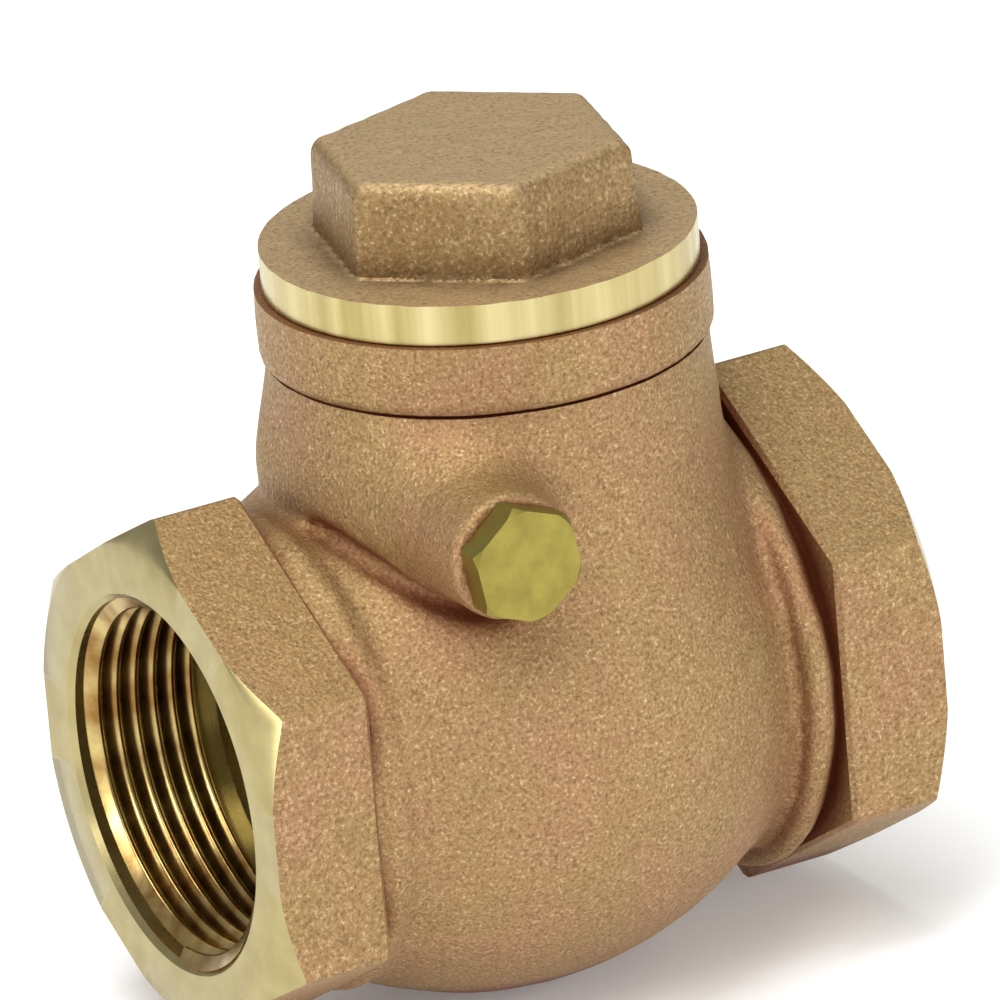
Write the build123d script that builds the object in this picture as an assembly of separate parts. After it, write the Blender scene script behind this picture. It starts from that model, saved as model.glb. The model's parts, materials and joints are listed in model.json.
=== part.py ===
from build123d import *
import os
from math import cos, radians, sin, sqrt

# Swing check valve, 1-1/4 inch, screwed cap, female threaded hexagon ends.
# Millimetres. +X is the way the water flows, +Z is up, and the origin is the centre of the inlet face.

# Shared
THREAD_GAP = 0.1

# Body, outside
LENGTH = 84.0
HEX_FLATS = 53.4
HEX_LENGTH = 12.8
HEX_FACE_RADIUS = 27.2
HEX_CHAMFER_SLOPE = 0.62
HEX_EDGE_ROUND = 0.9
BELLY_RADIUS = 32.5
BELLY_X = 39.9
BELLY_ARC = 43.0
SLEEVE_RADIUS = 23.7
BEAD_RADIUS = 27.0
BEAD_WIDTH = 2.6
BEAD_TO_HEX = 2.7
CAP_AXIS_X = 44.8
NECK_RADIUS = 24.3
COLLAR_RADIUS = 25.0
COLLAR_BOTTOM_Z = 41.5
BODY_TOP_Z = 49.1
PIN_X = 29.2
PIN_Z = 28.8
BOSS_RADIUS = 7.2
BOSS_NEAR_Y = -31.9
BOSS_FAR_Y = 9.0

# Body, inside
WALL = 3.8
THREAD_RADIUS = 20.96
THREAD_LENGTH = 17.0
MOUTH_RADIUS = 21.6
RELIEF_RADIUS = 19.0
RELIEF_LENGTH = 3.5
PORT_RADIUS = 14.5
PORT_LENGTH = 12.0
SEAT_RADIUS = 16.6
SEAT_HEIGHT = 2.0
SEAT_TILT = 7.0
SEAT_TO_PIN = 5.5
NECK_BORE_RADIUS = 20.5
PIN_POCKET_RADIUS = 4.8
PIN_POCKET_HALF = 10.5

# Cap and its gasket
CAP_THREAD_RADIUS = 21.5
CAP_SKIRT_RADIUS = 21.4
CAP_SKIRT_LENGTH = 8.6
CAP_THREAD_BOTTOM_Z = 39.6
GASKET_STEP_GAP = 0.1
CAP_HOLLOW_RADIUS = 17.6
CAP_HOLLOW_TOP_Z = 51.4
FLANGE_RADIUS = 24.1
FLANGE_HEIGHT = 4.7
CAP_HEX_BOTTOM_FLATS = 32.4
CAP_HEX_TOP_FLATS = 31.5
CAP_HEX_TURN = 16.5
CAP_TOP_Z = 63.7
CAP_EDGE_ROUND = 1.3
GASKET_THICKNESS = 1.0
GASKET_OUTER_RADIUS = 23.2
GASKET_INNER_RADIUS = 21.6

# Hinge pin and the plug that closes its hole
PIN_RADIUS = 2.0
PIN_RUNNING_GAP = 0.05
PIN_CHAMFER = 0.4
PIN_NEAR_Y = -22.0
PIN_FAR_Y = 16.0
PIN_HOLE_FAR_Y = 16.4
PLUG_FLATS = 12.0
PLUG_HEAD = 3.4
PLUG_TURN = 39.4
PLUG_FACE_RADIUS = 6.3
PLUG_CONE_HEIGHT = 6.0
PLUG_SHANK_RADIUS = 4.8
PLUG_SHANK_LENGTH = 9.0
PLUG_HOLE_DEPTH = 9.6

# Clapper: hanger, and the disc unit that it carries. Local frame: pin axis at the origin, arm down, seat upstream.
HUB_RADIUS = 4.2
HUB_HALF = 9.9
HEEL_LENGTH = 8.0
HEEL_THICKNESS = 4.0
HEEL_WIDTH = 8.0
HEEL_LEAN = 39.0
ARM_THICKNESS = 4.6
ARM_TOP_WIDTH = 13.0
ARM_BOTTOM_WIDTH = 9.0
ARM_BOSS_RADIUS = 7.4
ARM_BOSS_X = (0.1, 5.5)
SEAT_GAP = 0.05
CLOSE_GAP = 0.05
STUD_GAP = 0.08
FACING_RADIUS = 16.9
FACING_THICKNESS = 2.8
FACING_HOLE_RADIUS = 3.3
HOLDER_RADIUS = 17.9
HOLDER_RIM_DEPTH = 1.6
HOLDER_PLATE = 2.3
STUD_RADIUS = 3.5
STUD_END_X = 13.0
RETAINER_RADIUS = 8.5
RETAINER_THICKNESS = 1.3
SCREW_HEAD_RADIUS = 4.2
SCREW_HEAD_HEIGHT = 2.6
SCREW_SHANK_RADIUS = 1.9
SCREW_DEPTH = 3.6
SCREW_SLOT_WIDTH = 1.0
SCREW_SLOT_DEPTH = 1.2
SCREW_HEAD_CHAMFER = 0.6
SCREW_TIP_GAP = 0.2
WASHER_RADIUS = 6.6
WASHER_THICKNESS = 1.2
NUT_FLATS = 11.0
NUT_HEIGHT = 4.0
NUT_CHAMFER = 0.5
COTTER_RADIUS = 0.7
COTTER_LEG_RADIUS = 0.49
COTTER_HALF_LENGTH = 4.0
COTTER_EYE_RADIUS = 0.9
COTTER_LEG_LENGTH = 2.2
COTTER_LEG_SPREAD = 60

# Worked out from the above
TILT = radians(SEAT_TILT)
ARM_LENGTH = (PIN_Z - SEAT_TO_PIN * sin(TILT)) / cos(TILT)
FACING_FRONT_X = -SEAT_TO_PIN + SEAT_GAP
FACING_BACK_X = FACING_FRONT_X + FACING_THICKNESS
HOLDER_BACK_X = FACING_BACK_X + HOLDER_PLATE
WASHER_X = ARM_BOSS_X[1] + THREAD_GAP
NUT_X = WASHER_X + WASHER_THICKNESS
COTTER_X = NUT_X + NUT_HEIGHT + COTTER_RADIUS + THREAD_GAP
FLANGE_TOP_Z = BODY_TOP_Z + FLANGE_HEIGHT

CLAPPER_PLACE = Pos(PIN_X, 0, PIN_Z) * Rot(0, -SEAT_TILT, 0)
DISC_CENTRE = Pos(0, 0, -ARM_LENGTH)


def along_x(radius, x_start, x_end):
    """A cylinder on the X axis between two stations."""
    return Pos(x_start, 0, 0) * Rot(0, 90, 0) * Cylinder(
        radius, x_end - x_start, align=(Align.CENTER, Align.CENTER, Align.MIN)
    )


def along_y(radius, y_start, y_end):
    """A cylinder on the Y axis between two stations."""
    return Pos(0, y_start, 0) * Rot(-90, 0, 0) * Cylinder(
        radius, y_end - y_start, align=(Align.CENTER, Align.CENTER, Align.MIN)
    )


def along_z(radius, z_start, z_end):
    """A cylinder on the Z axis between two heights."""
    return Pos(0, 0, z_start) * Cylinder(
        radius, z_end - z_start, align=(Align.CENTER, Align.CENTER, Align.MIN)
    )


def hexagon(flats):
    """A hexagon measured across its flats, with a corner on its local X axis."""
    return RegularPolygon(flats / 2, 6, major_radius=False)


def hex_end():
    """The inlet's hexagon, corners up and down, with its outer corners turned off to a cone."""
    prism = extrude(Plane.YZ * Rot(0, 0, 90) * hexagon(HEX_FLATS), HEX_LENGTH)
    prism = fillet(prism.edges().filter_by(Axis.X), HEX_EDGE_ROUND)
    corner_radius = HEX_FLATS
    depth = (corner_radius - HEX_FACE_RADIUS) * HEX_CHAMFER_SLOPE
    turning = make_face(
        Polyline(
            (0, 0),
            (0, HEX_FACE_RADIUS),
            (depth, corner_radius),
            (HEX_LENGTH, corner_radius),
            (HEX_LENGTH, 0),
            close=True,
        )
    )
    return prism & revolve(turning, Axis.X)


def belly_profile(inset):
    """Half section of the belly about the X axis: one arc between the two hexagons, drawn in by the inset."""
    start_x = HEX_LENGTH - 1.0
    end_x = LENGTH - start_x
    radius = BELLY_ARC - inset
    centre_y = BELLY_RADIUS - BELLY_ARC
    start = centre_y + sqrt(radius**2 - (BELLY_X - start_x) ** 2)
    end = centre_y + sqrt(radius**2 - (end_x - BELLY_X) ** 2)
    arc = ThreePointArc((start_x, start), (BELLY_X, centre_y + radius), (end_x, end))
    base = Polyline((end_x, end), (end_x, 0), (start_x, 0), (start_x, start))
    return make_face(arc + base)


def body_outside():
    """The casting before it is hollowed."""
    inlet = hex_end()
    outlet = Pos(LENGTH, 0, 0) * Rot(0, 0, 180) * inlet
    belly = revolve(belly_profile(0), Axis.X)
    sleeve = along_x(SLEEVE_RADIUS, HEX_LENGTH - 1, LENGTH - HEX_LENGTH + 1)
    bead_x = HEX_LENGTH + BEAD_TO_HEX
    beads = [
        along_x(BEAD_RADIUS, x - BEAD_WIDTH / 2, x + BEAD_WIDTH / 2) for x in (bead_x, LENGTH - bead_x)
    ]
    neck = Pos(CAP_AXIS_X, 0, 0) * along_z(NECK_RADIUS, 0, BODY_TOP_Z)
    collar = Pos(CAP_AXIS_X, 0, 0) * along_z(COLLAR_RADIUS, COLLAR_BOTTOM_Z, BODY_TOP_Z)
    boss = Pos(PIN_X, 0, PIN_Z) * along_y(BOSS_RADIUS, BOSS_NEAR_Y, BOSS_FAR_Y)
    return belly + sleeve + beads[0] + beads[1] + neck + boss + collar + inlet + outlet


def chamber():
    """The water space downstream of the seat: the belly, the neck and the pocket round the hanger's hub."""
    hollow = revolve(belly_profile(WALL), Axis.X)
    hollow &= along_x(BELLY_RADIUS, THREAD_LENGTH, LENGTH - THREAD_LENGTH + 0.5)
    neck = Pos(CAP_AXIS_X, 0, 0) * along_z(NECK_BORE_RADIUS, 0, BODY_TOP_Z)
    pocket = Pos(PIN_X, 0, PIN_Z) * along_y(PIN_POCKET_RADIUS, -PIN_POCKET_HALF, PIN_POCKET_HALF)
    size = 4 * BELLY_RADIUS
    downstream = Pos(-SEAT_TO_PIN - SEAT_HEIGHT, 0, 0) * Box(
        size, size, size, align=(Align.MIN, Align.CENTER, Align.CENTER)
    )
    seat = DISC_CENTRE * along_x(SEAT_RADIUS, -SEAT_TO_PIN - SEAT_HEIGHT - 1, -SEAT_TO_PIN)
    space = (hollow + neck) & (CLAPPER_PLACE * downstream)
    return space + pocket - CLAPPER_PLACE * seat


def threaded_mouth():
    """What the inlet's tap and countersink remove."""
    depth = MOUTH_RADIUS - THREAD_RADIUS
    mouth = Cone(
        MOUTH_RADIUS + 1, THREAD_RADIUS, depth + 1, align=(Align.CENTER, Align.CENTER, Align.MIN)
    )
    return along_x(THREAD_RADIUS, 0, THREAD_LENGTH) + Pos(-1, 0, 0) * Rot(0, 90, 0) * mouth


def body():
    """The casting, hollowed, bored and tapped."""
    solid = body_outside() - chamber()
    inlet = threaded_mouth()
    relief = along_x(RELIEF_RADIUS, THREAD_LENGTH, THREAD_LENGTH + RELIEF_LENGTH)
    outlet = Pos(LENGTH, 0, 0) * Rot(0, 0, 180) * inlet
    port = CLAPPER_PLACE * DISC_CENTRE * along_x(PORT_RADIUS, -SEAT_TO_PIN - PORT_LENGTH, -SEAT_TO_PIN + 1)
    cap_thread = Pos(CAP_AXIS_X, 0, 0) * along_z(CAP_THREAD_RADIUS, CAP_THREAD_BOTTOM_Z, BODY_TOP_Z)
    gasket_step = Pos(CAP_AXIS_X, 0, 0) * along_z(
        GASKET_OUTER_RADIUS + GASKET_STEP_GAP, BODY_TOP_Z - GASKET_THICKNESS, BODY_TOP_Z
    )
    pin_hole = along_y(PIN_RADIUS + PIN_RUNNING_GAP, BOSS_NEAR_Y + 1, PIN_HOLE_FAR_Y)
    plug_hole = along_y(PLUG_SHANK_RADIUS + THREAD_GAP, BOSS_NEAR_Y, BOSS_NEAR_Y + PLUG_HOLE_DEPTH)
    solid = solid - inlet - relief - outlet - port - cap_thread - gasket_step
    solid = solid - Pos(PIN_X, 0, PIN_Z) * (pin_hole + plug_hole)
    return solid


def cap():
    """The screwed cap: threaded skirt, round flange and a hexagon with a little casting draft."""
    flange = along_z(FLANGE_RADIUS, BODY_TOP_Z, FLANGE_TOP_Z)
    skirt = along_z(CAP_SKIRT_RADIUS, BODY_TOP_Z - CAP_SKIRT_LENGTH, BODY_TOP_Z)
    bottom = Plane.XY.offset(FLANGE_TOP_Z) * Rot(0, 0, CAP_HEX_TURN) * hexagon(CAP_HEX_BOTTOM_FLATS)
    top = Plane.XY.offset(CAP_TOP_Z) * Rot(0, 0, CAP_HEX_TURN) * hexagon(CAP_HEX_TOP_FLATS)
    head = loft([bottom, top])
    head = fillet(head.faces().sort_by(Axis.Z)[-1].edges(), CAP_EDGE_ROUND)
    hollow = along_z(CAP_HOLLOW_RADIUS, BODY_TOP_Z - CAP_SKIRT_LENGTH, CAP_HOLLOW_TOP_Z)
    return Pos(CAP_AXIS_X, 0, 0) * (flange + skirt + head - hollow)


def cap_gasket():
    """The flat ring that the cap's flange presses into the body's step."""
    ring = along_z(GASKET_OUTER_RADIUS, BODY_TOP_Z - GASKET_THICKNESS, BODY_TOP_Z)
    hole = along_z(GASKET_INNER_RADIUS, BODY_TOP_Z - GASKET_THICKNESS, BODY_TOP_Z)
    return Pos(CAP_AXIS_X, 0, 0) * (ring - hole)


def hinge_pin():
    """The round pin that the hanger swings on, with broken ends."""
    pin = along_y(PIN_RADIUS, PIN_NEAR_Y, PIN_FAR_Y)
    pin = chamfer(pin.edges().filter_by(GeomType.CIRCLE), PIN_CHAMFER)
    return Pos(PIN_X, 0, PIN_Z) * pin


def side_plug():
    """The hexagon-headed plug that closes the pin's hole, with its outer corners turned off."""
    head_face = BOSS_NEAR_Y - PLUG_HEAD
    head = extrude(Plane.XZ.offset(-BOSS_NEAR_Y) * Rot(0, 0, PLUG_TURN) * hexagon(PLUG_FLATS), PLUG_HEAD)
    cone = Pos(0, head_face, 0) * Rot(-90, 0, 0) * Cone(
        PLUG_FACE_RADIUS, 2 * PLUG_CONE_HEIGHT, PLUG_CONE_HEIGHT, align=(Align.CENTER, Align.CENTER, Align.MIN)
    )
    shank = along_y(PLUG_SHANK_RADIUS, BOSS_NEAR_Y, BOSS_NEAR_Y + PLUG_SHANK_LENGTH)
    return Pos(PIN_X, 0, PIN_Z) * ((head & cone) + shank)


def hanger():
    """The arm: a hub on the pin, a web, a boss for the disc's stud, and a heel that stops the swing at the neck."""
    hub = along_y(HUB_RADIUS, -HUB_HALF, HUB_HALF)
    boss = DISC_CENTRE * along_x(ARM_BOSS_RADIUS, *ARM_BOSS_X)
    web = make_face(
        Polyline(
            (-ARM_TOP_WIDTH / 2, 0),
            (ARM_TOP_WIDTH / 2, 0),
            (ARM_BOTTOM_WIDTH / 2, -ARM_LENGTH),
            (-ARM_BOTTOM_WIDTH / 2, -ARM_LENGTH),
            close=True,
        )
    )
    arm = extrude(Plane.YZ.offset(ARM_BOSS_X[0]) * web, ARM_THICKNESS)
    heel = Rot(0, HEEL_LEAN, 0) * Box(
        HEEL_THICKNESS, HEEL_WIDTH, HEEL_LENGTH, align=(Align.CENTER, Align.CENTER, Align.MIN)
    )
    pin_bore = along_y(PIN_RADIUS + PIN_RUNNING_GAP, -HUB_HALF, HUB_HALF)
    stud_bore = DISC_CENTRE * along_x(STUD_RADIUS + STUD_GAP, *ARM_BOSS_X)
    return CLAPPER_PLACE * (hub + arm + heel + boss - pin_bore - stud_bore)


def disc_holder():
    """The disc: a shallow cup for the facing, with a stud at its back that the hanger carries."""
    cup = along_x(HOLDER_RADIUS, FACING_BACK_X - HOLDER_RIM_DEPTH, HOLDER_BACK_X)
    recess = along_x(FACING_RADIUS + CLOSE_GAP, FACING_BACK_X - HOLDER_RIM_DEPTH, FACING_BACK_X)
    stud = along_x(STUD_RADIUS, HOLDER_BACK_X, STUD_END_X)
    tapped = along_x(SCREW_SHANK_RADIUS, FACING_BACK_X, FACING_BACK_X + SCREW_DEPTH)
    cross_hole = Pos(COTTER_X, 0, 0) * along_y(COTTER_RADIUS + CLOSE_GAP, -STUD_RADIUS - 1, STUD_RADIUS + 1)
    return CLAPPER_PLACE * DISC_CENTRE * (cup - recess + stud - tapped - cross_hole)


def disc_facing():
    """The soft ring that seals on the seat."""
    ring = along_x(FACING_RADIUS, FACING_FRONT_X, FACING_BACK_X)
    hole = along_x(FACING_HOLE_RADIUS, FACING_FRONT_X, FACING_BACK_X)
    return CLAPPER_PLACE * DISC_CENTRE * (ring - hole)


def facing_retainer():
    """The brass washer that clamps the facing, with a spigot through the facing's hole."""
    plate = along_x(RETAINER_RADIUS, FACING_FRONT_X - RETAINER_THICKNESS, FACING_FRONT_X)
    spigot = along_x(FACING_HOLE_RADIUS - CLOSE_GAP, FACING_FRONT_X, FACING_BACK_X)
    hole = along_x(SCREW_SHANK_RADIUS + THREAD_GAP, FACING_FRONT_X - RETAINER_THICKNESS, FACING_BACK_X)
    return CLAPPER_PLACE * DISC_CENTRE * (plate + spigot - hole)


def retainer_screw():
    """The slotted screw that holds the retainer and facing to the disc."""
    head_x = FACING_FRONT_X - RETAINER_THICKNESS
    head = along_x(SCREW_HEAD_RADIUS, head_x - SCREW_HEAD_HEIGHT, head_x)
    head = chamfer(head.edges().sort_by(Axis.X)[0], SCREW_HEAD_CHAMFER)
    shank = along_x(SCREW_SHANK_RADIUS, head_x, FACING_BACK_X + SCREW_DEPTH - SCREW_TIP_GAP)
    slot = Pos(head_x - SCREW_HEAD_HEIGHT, 0, 0) * Box(
        2 * SCREW_SLOT_DEPTH, 3 * SCREW_HEAD_RADIUS, SCREW_SLOT_WIDTH
    )
    return CLAPPER_PLACE * DISC_CENTRE * (head + shank - slot)


def disc_washer():
    """The washer between the hanger's boss and the nut."""
    ring = along_x(WASHER_RADIUS, WASHER_X, WASHER_X + WASHER_THICKNESS)
    hole = along_x(STUD_RADIUS + THREAD_GAP, WASHER_X, WASHER_X + WASHER_THICKNESS)
    return CLAPPER_PLACE * DISC_CENTRE * (ring - hole)


def disc_nut():
    """The nut on the disc's stud, its corners turned off at both ends."""
    nut = extrude(Plane.YZ.offset(NUT_X) * hexagon(NUT_FLATS), NUT_HEIGHT)
    corner = NUT_FLATS / 2 / cos(radians(30))
    turning = along_x(corner, NUT_X, NUT_X + NUT_HEIGHT)
    turning = chamfer(turning.edges().filter_by(GeomType.CIRCLE), NUT_CHAMFER)
    return CLAPPER_PLACE * DISC_CENTRE * ((nut & turning) - along_x(STUD_RADIUS, NUT_X, NUT_X + NUT_HEIGHT))


def nut_cotter():
    """The split pin behind the nut: an eye, and two legs bent apart."""
    pin = along_y(COTTER_RADIUS, -COTTER_HALF_LENGTH, COTTER_HALF_LENGTH)
    eye = Pos(0, -COTTER_HALF_LENGTH - COTTER_EYE_RADIUS, 0) * Rot(0, 90, 0) * Torus(COTTER_EYE_RADIUS, COTTER_RADIUS)
    legs = [
        Pos(0, COTTER_HALF_LENGTH - COTTER_LEG_RADIUS / 2, 0)
        * Rot(side * COTTER_LEG_SPREAD, 0, 0)
        * along_y(COTTER_LEG_RADIUS, 0, COTTER_LEG_LENGTH)
        for side in (-1, 1)
    ]
    return CLAPPER_PLACE * DISC_CENTRE * Pos(COTTER_X, 0, 0) * (pin + eye + legs[0] + legs[1])


NODES = {
    "body": body,
    "cap": cap,
    "cap_gasket": cap_gasket,
    "hinge_pin": hinge_pin,
    "side_plug": side_plug,
    "hanger": hanger,
    "disc_holder": disc_holder,
    "disc_facing": disc_facing,
    "facing_retainer": facing_retainer,
    "retainer_screw": retainer_screw,
    "disc_washer": disc_washer,
    "disc_nut": disc_nut,
    "nut_cotter": nut_cotter,
}

os.makedirs("parts", exist_ok=True)
for name, make in NODES.items():
    export_step(make(), f"parts/{name}.step")
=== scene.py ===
"""Looks of a cast bronze swing check valve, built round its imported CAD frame.

Shapes are worked out in millimetres and written in metres. +X is the flow, +Z is up, and the origin is the centre
of the inlet's end face, as in the CAD model.
"""

import json
import logging
import math
from dataclasses import dataclass, field
from enum import Enum
from functools import partial
from typing import Any, Callable

import bmesh
import bpy
import numpy as np
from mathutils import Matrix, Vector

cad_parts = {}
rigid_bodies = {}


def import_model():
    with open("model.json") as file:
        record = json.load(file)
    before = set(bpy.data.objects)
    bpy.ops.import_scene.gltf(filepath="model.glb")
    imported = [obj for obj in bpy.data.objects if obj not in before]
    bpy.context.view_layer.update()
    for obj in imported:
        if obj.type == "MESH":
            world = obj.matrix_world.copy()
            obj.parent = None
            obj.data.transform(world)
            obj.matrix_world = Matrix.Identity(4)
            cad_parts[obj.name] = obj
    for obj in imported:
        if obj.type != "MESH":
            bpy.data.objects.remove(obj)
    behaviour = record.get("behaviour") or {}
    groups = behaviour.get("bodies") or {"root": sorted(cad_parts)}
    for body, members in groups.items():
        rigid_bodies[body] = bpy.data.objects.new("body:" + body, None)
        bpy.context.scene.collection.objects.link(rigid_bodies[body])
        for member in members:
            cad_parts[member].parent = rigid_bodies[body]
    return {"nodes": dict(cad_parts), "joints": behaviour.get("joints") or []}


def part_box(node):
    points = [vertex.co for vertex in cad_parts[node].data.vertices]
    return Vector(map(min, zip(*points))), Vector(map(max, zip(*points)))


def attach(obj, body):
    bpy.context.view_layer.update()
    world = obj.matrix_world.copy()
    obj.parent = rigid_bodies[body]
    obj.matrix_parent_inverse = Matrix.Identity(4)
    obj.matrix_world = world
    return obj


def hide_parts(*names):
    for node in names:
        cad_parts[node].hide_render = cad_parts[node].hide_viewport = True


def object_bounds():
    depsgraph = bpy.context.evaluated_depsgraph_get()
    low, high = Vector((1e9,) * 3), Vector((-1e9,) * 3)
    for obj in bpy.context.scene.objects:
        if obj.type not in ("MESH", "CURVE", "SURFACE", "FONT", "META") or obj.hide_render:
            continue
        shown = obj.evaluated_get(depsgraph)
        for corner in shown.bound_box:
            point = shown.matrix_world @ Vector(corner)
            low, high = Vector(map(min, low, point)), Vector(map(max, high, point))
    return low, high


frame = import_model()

import openvdb
from bpy.types import Material, Node, NodeSocket, NodeTree, Object
from mathutils import Matrix, Vector

LOG = logging.getLogger("check_valve")
MM = 0.001
CAD_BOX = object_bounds()
CLEAR = 1.0  # mm that a cutting tool passes a face by
FIELD_FAR = 3.0  # steps: the distance given to space outside a field's grid
FIELD_PROBE = 0.05  # mm between the points that give a field's slope
FIELD_DRAWS = 3  # times that corners are drawn onto the true surface
FIELD_LEAST_SLOPE = 0.25  # holds a corner where the slope nearly vanishes

Points = np.ndarray
Distance = Callable[[Points], np.ndarray]


# --- colours and nodes


def linear(code: str) -> tuple[float, float, float, float]:
    """Turn an sRGB hex colour into linear RGBA.

    Args:
        code: six hex digits, such as "B08662".

    Returns:
        Red, green, blue and an alpha of 1, linear.
    """
    values = [int(code[i : i + 2], 16) / 255 for i in (0, 2, 4)]
    lit = [v / 12.92 if v <= 0.04045 else ((v + 0.055) / 1.055) ** 2.4 for v in values]
    return lit[0], lit[1], lit[2], 1.0


def feed(node: Node, inputs: dict[Any, Any]) -> None:
    """Set or link a node's inputs.

    Args:
        node: the node.
        inputs: socket name or number to a value, a socket to link from, or a node whose first output is linked.
    """
    for key, value in inputs.items():
        source = value.outputs[0] if isinstance(value, Node) else value
        if isinstance(source, NodeSocket):
            node.id_data.links.new(source, node.inputs[key])
        else:
            node.inputs[key].default_value = source


def add_node(tree: NodeTree, kind: str, inputs: dict[Any, Any] | None = None, **settings: Any) -> Node:
    """Add a node to a tree, with its settings, values and links.

    Args:
        tree: the shader or geometry tree.
        kind: the node's type name.
        inputs: what its inputs get, as for feed.
        settings: the node's own properties.

    Returns:
        The new node.
    """
    node = tree.nodes.new(kind)
    for key, value in settings.items():
        setattr(node, key, value)
    feed(node, inputs or {})
    return node


def blank_material(name: str) -> tuple[Material, Callable[..., Node], Node]:
    """Make a material that holds only its shader.

    Args:
        name: what the finish is called.

    Returns:
        The material, add_node for its tree, and its shader.
    """
    material = bpy.data.materials.new(name)
    material.use_nodes = True
    tree = material.node_tree
    tree.nodes.clear()
    shader = add_node(tree, "ShaderNodeBsdfPrincipled")
    add_node(tree, "ShaderNodeOutputMaterial", {"Surface": shader})
    return material, partial(add_node, tree), shader


class TurnedAxis(Enum):
    """The lathe axis that a turned surface's tool marks run round."""

    FLOW = "X"
    CAP = "Z"


@dataclass(frozen=True)
class CastBronze:
    """Sand-cast bronze, shot-blasted: a matt, grainy metal whose grains vary in gloss, with glints painted into its
    colour where single grains would catch the light.
    """

    name: str = "sand_cast_bronze"
    tan: str = "A08355"
    rose: str = "A5805A"
    rubbed: str = "A08355"
    pit: str = "523622"
    glint: str = "EED8AE"
    crevice: str = "74361A"
    grain_mm: float = 0.42
    grain_depth_mm: float = 0.16
    skin_grains: float = 4.0
    skin_depth_mm: float = 0.35
    blotch_mm: float = 14.0
    crevice_mm: float = 6.0
    metallic: float = 0.72
    roughness: float = 0.5
    roughness_spread: float = 0.12

    def make(self) -> Material:
        """Build the material, its tints laid over each other from the broadest to the painted shade in the darkest
        corners.

        Returns:
            The finish, ready for a slot.
        """
        material, add, shader = blank_material(self.name)
        texture = add("ShaderNodeTexCoord")
        place = texture.outputs["Object"]
        blotch, grain, skin = (
            add("ShaderNodeTexNoise", {"Vector": place, "Scale": 1 / (width * MM), "Detail": detail})
            for width, detail in zip((self.blotch_mm, self.grain_mm, self.skin_grains * self.grain_mm), (3, 4, 2))
        )
        grain.inputs["Roughness"].default_value = 0.75
        facing = add("ShaderNodeSeparateXYZ", {0: texture.outputs["Normal"]})
        painted_shade = add("ShaderNodeAmbientOcclusion", {"Distance": self.crevice_mm * MM}, samples=8)
        # Each tint: the pattern that it follows, where it starts, where it is full, how strong it gets, its colour.
        tints = (
            (blotch, 0.38, 0.62, 1.0, self.rose),
            # Upward faces blend to the top colour: painted light from above, paler on the cap and unchanged on the
            # body.
            (facing.outputs["Z"], 0.6, 0.95, 1.0, self.rubbed),
            (grain, 0.5, 0.34, 0.6, self.pit),
            # Bright grains: painted glints, a pale colour where single grains would catch the light.
            (grain, 0.56, 0.7, 0.62, self.glint),
            # Corners and creases that ambient occlusion finds go reddish brown: painted shade.
            (painted_shade.outputs["AO"], 0.9, 0.4, 0.9, self.crevice),
        )
        colour = linear(self.tan)
        for pattern, start, full, most, tint in tints:
            share = add("ShaderNodeMapRange", {"Value": pattern, "From Min": start, "From Max": full, "To Max": most})
            mixed = add("ShaderNodeMix", {0: share, 6: colour, 7: linear(tint)}, data_type="RGBA")
            colour = mixed.outputs[2]
        dull, bright = self.roughness + self.roughness_spread, self.roughness - self.roughness_spread
        dullness = add(
            "ShaderNodeMapRange", {"Value": grain, "From Min": 0.3, "From Max": 0.7, "To Min": dull, "To Max": bright}
        )
        swell = add("ShaderNodeBump", {"Height": skin, "Distance": self.skin_depth_mm * MM, "Strength": 0.5})
        relief = add(
            "ShaderNodeBump",
            {"Height": grain, "Distance": self.grain_depth_mm * MM, "Strength": 0.9, "Normal": swell},
        )
        feed(
            shader,
            {"Base Color": colour, "Metallic": self.metallic, "Roughness": dullness.outputs[0], "Normal": relief},
        )
        return material


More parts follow.
